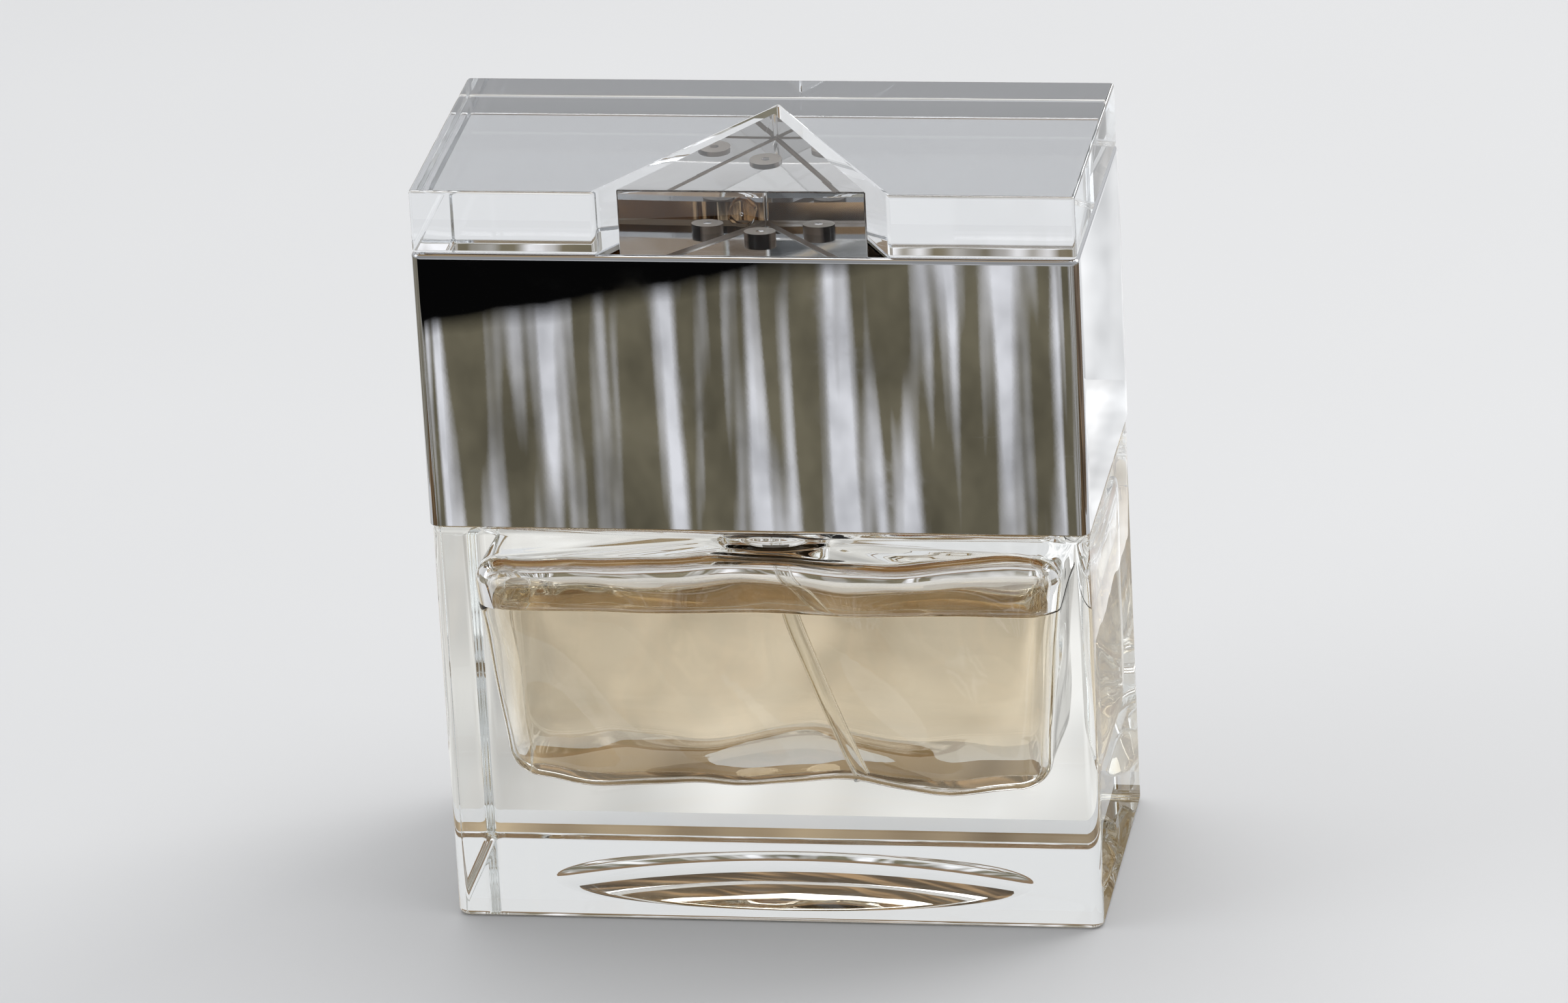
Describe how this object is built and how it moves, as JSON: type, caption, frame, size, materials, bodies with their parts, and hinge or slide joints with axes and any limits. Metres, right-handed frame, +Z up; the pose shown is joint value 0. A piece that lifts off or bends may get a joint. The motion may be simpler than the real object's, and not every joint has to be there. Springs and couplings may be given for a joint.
{
  "type": "perfume atomiser",
  "caption": "Flat rectangular glass perfume atomiser with a mirror chrome cover over its crimp pump and a clear block on top, notched for a triangular spray button.",
  "frame": {"origin": "middle of the bottle's underside, on the surface that it stands on", "axes": "+Z up along the height, +X along the width, -Y towards the front, where the button's flat face and its nozzle look"},
  "size_m": [0.0624, 0.0304, 0.074],
  "materials": {
    "clear_glass": "gloss",
    "fragrance": "gloss",
    "clear_acrylic": "gloss",
    "mirror_chrome": "polished",
    "dark_plastic": "gloss",
    "clear_plastic": "gloss",
    "natural_plastic": "satin",
    "collar_plastic": "satin",
    "seal_rubber": "matte",
    "ferrule_metal": "satin",
    "spring_steel": "satin"
  },
  "bodies": {
    "bottle_and_cover": {"glass_bottle": "clear_glass", "fragrance_liquid": "fragrance", "dip_tube": "clear_plastic", "neck_gasket": "seal_rubber", "pump_housing": "natural_plastic", "return_spring": "spring_steel", "stem_seal": "seal_rubber", "turret": "natural_plastic", "crimp_ferrule": "ferrule_metal", "snap_collar": "collar_plastic", "chrome_cover": "mirror_chrome", "acrylic_block": "clear_acrylic"},
    "button": {"button_prism": "clear_acrylic", "actuator_core": "dark_plastic", "nozzle_insert": "clear_plastic", "pump_stem": "natural_plastic", "valve_rod": "natural_plastic"},
    "pump_piston": {"piston": "natural_plastic", "precompression_spring": "spring_steel"},
    "inlet_valve": {"inlet_ball": "spring_steel"}
  },
  "joints": [
    {"name": "button_press", "type": "slide", "parent": "bottle_and_cover", "child": "button", "axis": [0, 0, -1], "range_m": [0, 0.003], "stiffness_N_per_m": 600, "springref_m": -0.003, "deforming": ["return_spring"]},
    {"name": "piston_slide", "type": "slide", "parent": "bottle_and_cover", "child": "pump_piston", "axis": [0, 0, -1], "range_m": [0, 0.00255], "deforming": ["precompression_spring"]},
    {"name": "inlet_ball_lift", "type": "slide", "parent": "bottle_and_cover", "child": "inlet_valve", "axis": [0, 0, 1], "range_m": [0, 0.0006]}
  ],
  "couplings": [
    {"joint": "piston_slide", "follows": "button_press", "ratio": 0.85}
  ]
}
